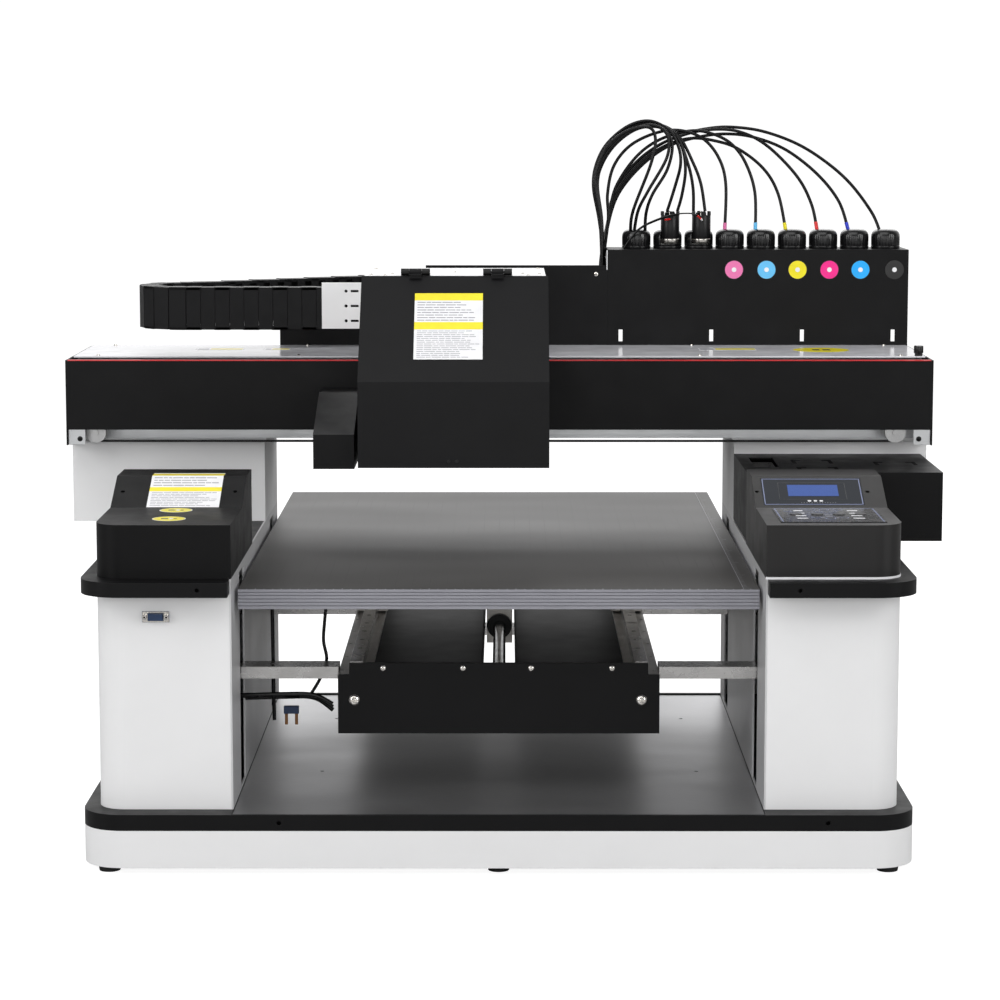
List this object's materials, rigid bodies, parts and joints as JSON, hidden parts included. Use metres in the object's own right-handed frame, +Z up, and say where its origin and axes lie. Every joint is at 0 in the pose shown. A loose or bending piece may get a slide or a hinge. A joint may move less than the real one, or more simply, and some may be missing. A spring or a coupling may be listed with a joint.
{
  "type": "flatbed uv printer",
  "caption": "Flatbed printer with a lifting, sliding table between two columns, a gantry with a hooded print carriage, and an ink bottle rack with tubes.",
  "frame": {"origin": "on the floor under the centre of the machine's overall box", "axes": "+Z up, +X the operator's right along the gantry, +Y away from the operator along the table's travel"},
  "size_m": [1.112, 1.078, 0.8558],
  "materials": {
    "white_paint": "fine textured powder coat",
    "black_paint": "satin powder coat",
    "black_gloss": "semi-gloss",
    "grey_paint": "satin",
    "polished_metal": "polished",
    "liner_metal": "satin",
    "table_anodised": "anodised, ruled",
    "bed_metal": "extruded",
    "beam_metal": "extruded",
    "rail_steel": "ground",
    "head_metal": "satin",
    "screw_steel": "plated",
    "motor_paint": "satin",
    "motor_black": "satin",
    "hinge_black": "matte",
    "cap_plastic": "semi-gloss",
    "bottle_plastic": "translucent",
    "chain_plastic": "moulded",
    "tube_plastic": "gloss",
    "seal_rubber": "matte",
    "belt_rubber": "matte",
    "foot_rubber": "matte",
    "display_window": "gloss",
    "keypad_film": "film",
    "key_plastic": "matte",
    "connector_blue": "moulded"
  },
  "bodies": {
    "frame": {"base_shell": "white_paint", "base_rim": "black_paint", "deck_plate": "polished_metal", "feet": "foot_rubber", "column_shells": "white_paint", "column_liners": "liner_metal", "column_shelves": "black_paint", "left_console": "black_paint", "right_console": "black_paint", "display_module": "display_window", "keypad_panel": "keypad_film", "data_connector": "connector_blue", "gantry_supports": "white_paint", "gantry_beam": "beam_metal", "gantry_front_panel": "black_paint", "gantry_top_cover": "grey_paint", "gantry_end_plates": "black_paint", "gantry_screws": "screw_steel", "x_rail": "rail_steel", "drive_belt": "belt_rubber", "drive_motors": "motor_paint", "rear_panel": "black_paint", "chain_back_run": "chain_plastic", "ink_rack": "black_paint", "ink_bottles": "bottle_plastic", "bottle_caps": "cap_plastic", "stirrer_motors": "motor_black", "ink_tubes": "tube_plastic", "cap_station_housing": "black_paint", "lift_guides": "rail_steel"},
    "bed": {"crossbars": "rail_steel", "lift_brackets": "beam_metal", "bed_side_rails": "bed_metal", "bed_front_plate": "black_paint", "bed_screws": "screw_steel", "bed_trays": "black_gloss", "y_rails": "rail_steel", "screw_supports": "motor_paint"},
    "ball_screw": {"ball_screw": "rail_steel"},
    "left_lift_screw": {"left_lift_screw": "rail_steel"},
    "right_lift_screw": {"right_lift_screw": "rail_steel"},
    "table": {"table_top": "table_anodised", "table_underframe": "bed_metal"},
    "carriage": {"carriage_frame": "white_paint", "print_heads": "head_metal", "uv_lamp": "black_paint", "cover_hinges": "hinge_black"},
    "cover": {"carriage_cover": "black_paint"},
    "left_pulley": {"left_pulley": "beam_metal"},
    "right_pulley": {"right_pulley": "beam_metal"},
    "chain_loop": {"chain_loop": "chain_plastic"},
    "chain_end": {"chain_front_run": "chain_plastic", "chain_bracket": "white_paint"},
    "cap_station": {"cap_station": "seal_rubber"},
    "left_stirrer": {"left_stirrer": "screw_steel"},
    "right_stirrer": {"right_stirrer": "screw_steel"},
    "key_left": {"key_left": "key_plastic"},
    "key_up": {"key_up": "key_plastic"},
    "key_down": {"key_down": "key_plastic"},
    "key_right": {"key_right": "key_plastic"}
  },
  "joints": [
    {"name": "bed_lift", "type": "slide", "parent": "frame", "child": "bed", "axis": [0, 0, 1], "range_m": [-0.06, 0.095]},
    {"name": "left_lift_screw_spin", "type": "hinge", "parent": "frame", "child": "left_lift_screw", "pos_m": [-0.395, -0.146, 0.2], "axis": [0, 0, 1], "continuous": true},
    {"name": "right_lift_screw_spin", "type": "hinge", "parent": "frame", "child": "right_lift_screw", "pos_m": [0.395, -0.146, 0.2], "axis": [0, 0, 1], "continuous": true},
    {"name": "table_slide", "type": "slide", "parent": "bed", "child": "table", "axis": [0, 1, 0], "range_m": [-0.435, 0.2]},
    {"name": "ball_screw_spin", "type": "hinge", "parent": "bed", "child": "ball_screw", "pos_m": [0, 0, 0.185], "axis": [0, 1, 0], "continuous": true},
    {"name": "carriage_slide", "type": "slide", "parent": "frame", "child": "carriage", "axis": [1, 0, 0], "range_m": [-0.2, 0.45]},
    {"name": "left_pulley_spin", "type": "hinge", "parent": "frame", "child": "left_pulley", "pos_m": [-0.52, -0.031, 0.456], "axis": [0, 1, 0], "continuous": true},
    {"name": "right_pulley_spin", "type": "hinge", "parent": "frame", "child": "right_pulley", "pos_m": [0.51, -0.031, 0.456], "axis": [0, 1, 0], "continuous": true},
    {"name": "cover_hinge", "type": "hinge", "parent": "carriage", "child": "cover", "pos_m": [-0.055, -0.144, 0.6675], "axis": [-1, 0, 0], "range_deg": [0, 100]},
    {"name": "chain_loop_slide", "type": "slide", "parent": "frame", "child": "chain_loop", "axis": [1, 0, 0], "range_m": [-0.1, 0.225], "deforming": ["chain_back_run"]},
    {"name": "chain_end_slide", "type": "slide", "parent": "chain_loop", "child": "chain_end", "axis": [1, 0, 0], "range_m": [-0.1, 0.225], "deforming": ["chain_front_run"]},
    {"name": "cap_lift", "type": "slide", "parent": "frame", "child": "cap_station", "axis": [0, 0, 1], "range_m": [0, 0.018]},
    {"name": "left_stirrer_spin", "type": "hinge", "parent": "frame", "child": "left_stirrer", "pos_m": [0.229, 0.226, 0.64], "axis": [0, 0, 1], "continuous": true},
    {"name": "right_stirrer_spin", "type": "hinge", "parent": "frame", "child": "right_stirrer", "pos_m": [0.2715, 0.226, 0.64], "axis": [0, 0, 1], "continuous": true},
    {"name": "key_left_press", "type": "slide", "parent": "frame", "child": "key_left", "axis": [0, 0, -1], "range_m": [0, 0.001], "stiffness_N_per_m": 400},
    {"name": "key_up_press", "type": "slide", "parent": "frame", "child": "key_up", "axis": [0, 0, -1], "range_m": [0, 0.001], "stiffness_N_per_m": 400},
    {"name": "key_down_press", "type": "slide", "parent": "frame", "child": "key_down", "axis": [0, 0, -1], "range_m": [0, 0.001], "stiffness_N_per_m": 400},
    {"name": "key_right_press", "type": "slide", "parent": "frame", "child": "key_right", "axis": [0, 0, -1], "range_m": [0, 0.001], "stiffness_N_per_m": 400}
  ],
  "couplings": [
    {"joint": "left_lift_screw_spin", "follows": "bed_lift", "rad_per_m": 628.32},
    {"joint": "right_lift_screw_spin", "follows": "bed_lift", "rad_per_m": 628.32},
    {"joint": "ball_screw_spin", "follows": "table_slide", "rad_per_m": 314.16},
    {"joint": "left_pulley_spin", "follows": "carriage_slide", "rad_per_m": 95.238},
    {"joint": "right_pulley_spin", "follows": "carriage_slide", "rad_per_m": 95.238},
    {"joint": "chain_loop_slide", "follows": "carriage_slide", "ratio": 0.5},
    {"joint": "chain_end_slide", "follows": "carriage_slide", "ratio": 0.5}
  ]
}
